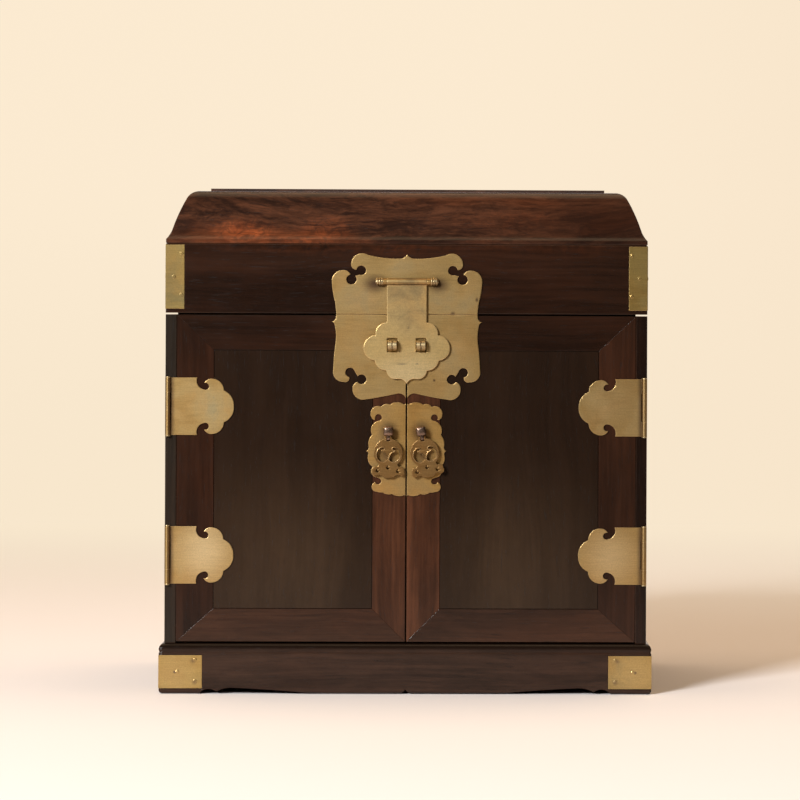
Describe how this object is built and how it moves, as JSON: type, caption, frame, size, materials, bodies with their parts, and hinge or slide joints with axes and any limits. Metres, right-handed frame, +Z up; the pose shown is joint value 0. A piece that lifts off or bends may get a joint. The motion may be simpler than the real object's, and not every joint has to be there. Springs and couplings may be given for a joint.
{
  "type": "seal chest",
  "caption": "Tabletop chest with a hinged lid over a tray, a hasp for a padlock, a pair of doors on pin hinges, and drawers behind them, on a low apron base.",
  "frame": {"origin": "centre of the footprint of the whole, on the surface that the base stands on", "axes": "+Z up, +X to the right seen from the front, doors face -Y"},
  "size_m": [0.3676, 0.2759, 0.3764],
  "materials": {
    "base_wood": "waxed",
    "case_wood": "waxed",
    "door_wood": "waxed",
    "lid_wood": "waxed",
    "inner_wood": "plain",
    "brass_plates": "aged",
    "brass_fittings": "aged"
  },
  "bodies": {
    "case": {"back_panel": "case_wood", "bottom_board": "inner_wood", "case_door_hinge_leaves": "brass_plates", "case_lid_hinge_leaves": "brass_plates", "centre_divider": "inner_wood", "drawer_frame": "inner_wood", "hinge_pins": "brass_fittings", "left_side_panel": "case_wood", "plinth_back_rail": "base_wood", "plinth_corner_mounts": "brass_plates", "plinth_front_rail": "base_wood", "plinth_left_rail": "base_wood", "plinth_right_rail": "base_wood", "right_side_panel": "case_wood", "tray_floor": "inner_wood", "tray_front_rail": "inner_wood"},
    "hasp": {"hasp": "brass_plates"},
    "lid": {"hasp_rod": "brass_plates", "lid_back_slope": "lid_wood", "lid_back_wall": "lid_wood", "lid_corner_mounts": "brass_plates", "lid_front_slope": "lid_wood", "lid_front_wall": "lid_wood", "lid_hinge_leaves": "brass_plates", "lid_left_slope": "lid_wood", "lid_left_wall": "lid_wood", "lid_right_slope": "lid_wood", "lid_right_wall": "lid_wood", "lid_top_panel": "lid_wood", "upper_lock_plate": "brass_plates"},
    "left_door": {"left_door_bottom_rail": "door_wood", "left_door_hinge_leaves": "brass_plates", "left_door_hinge_stile": "door_wood", "left_door_lock_plate": "brass_plates", "left_door_meeting_stile": "door_wood", "left_door_panel": "door_wood", "left_door_top_rail": "door_wood", "left_padlock_eye": "brass_fittings", "left_pull_plate": "brass_plates", "left_pull_post": "brass_fittings"},
    "left_drop_pull": {"left_drop_pull": "brass_fittings"},
    "lower_left_drawer": {"lower_left_drawer": "inner_wood", "lower_left_drawer_knob": "brass_fittings"},
    "lower_right_drawer": {"lower_right_drawer": "inner_wood", "lower_right_drawer_knob": "brass_fittings"},
    "right_door": {"right_door_bottom_rail": "door_wood", "right_door_hinge_leaves": "brass_plates", "right_door_hinge_stile": "door_wood", "right_door_lock_plate": "brass_plates", "right_door_meeting_stile": "door_wood", "right_door_panel": "door_wood", "right_door_top_rail": "door_wood", "right_padlock_eye": "brass_fittings", "right_pull_plate": "brass_plates", "right_pull_post": "brass_fittings"},
    "right_drop_pull": {"right_drop_pull": "brass_fittings"},
    "upper_left_drawer": {"upper_left_drawer": "inner_wood", "upper_left_drawer_knob": "brass_fittings"},
    "upper_right_drawer": {"upper_right_drawer": "inner_wood", "upper_right_drawer_knob": "brass_fittings"}
  },
  "joints": [
    {"name": "lid_hinge", "type": "hinge", "parent": "case", "child": "lid", "pos_m": [0, 0.1357, 0.2824], "axis": [-1, 0, 0], "range_deg": [0, 100]},
    {"name": "hasp_hinge", "type": "hinge", "parent": "lid", "child": "hasp", "pos_m": [0, -0.131, 0.3068], "axis": [-1, 0, 0], "range_deg": [0, 165]},
    {"name": "left_door_hinge", "type": "hinge", "parent": "case", "child": "left_door", "pos_m": [-0.1772, -0.1291, 0.158], "axis": [0, 0, -1], "range_deg": [0, 240]},
    {"name": "right_door_hinge", "type": "hinge", "parent": "case", "child": "right_door", "pos_m": [0.1772, -0.1291, 0.158], "axis": [0, 0, 1], "range_deg": [0, 240]},
    {"name": "left_pull_swing", "type": "hinge", "parent": "left_door", "child": "left_drop_pull", "pos_m": [-0.0134, -0.1317, 0.1906], "axis": [-1, 0, 0], "range_deg": [0, 85]},
    {"name": "right_pull_swing", "type": "hinge", "parent": "right_door", "child": "right_drop_pull", "pos_m": [0.0118, -0.1317, 0.19068], "axis": [-0.9848, 0, -0.1736], "range_deg": [0, 85]},
    {"name": "upper_left_drawer_slide", "type": "slide", "parent": "case", "child": "upper_left_drawer", "axis": [0, -1, 0], "range_m": [0, 0.1173]},
    {"name": "upper_right_drawer_slide", "type": "slide", "parent": "case", "child": "upper_right_drawer", "axis": [0, -1, 0], "range_m": [0, 0.1173]},
    {"name": "lower_left_drawer_slide", "type": "slide", "parent": "case", "child": "lower_left_drawer", "axis": [0, -1, 0], "range_m": [0, 0.1173]},
    {"name": "lower_right_drawer_slide", "type": "slide", "parent": "case", "child": "lower_right_drawer", "axis": [0, -1, 0], "range_m": [0, 0.1173]}
  ],
  "couplings": [
    {"joint": "upper_left_drawer_slide", "follows": "left_door_hinge", "m_per_rad": 0.028},
    {"joint": "upper_right_drawer_slide", "follows": "right_door_hinge", "m_per_rad": 0.028},
    {"joint": "lower_left_drawer_slide", "follows": "left_door_hinge", "m_per_rad": 0.028},
    {"joint": "lower_right_drawer_slide", "follows": "right_door_hinge", "m_per_rad": 0.028}
  ]
}
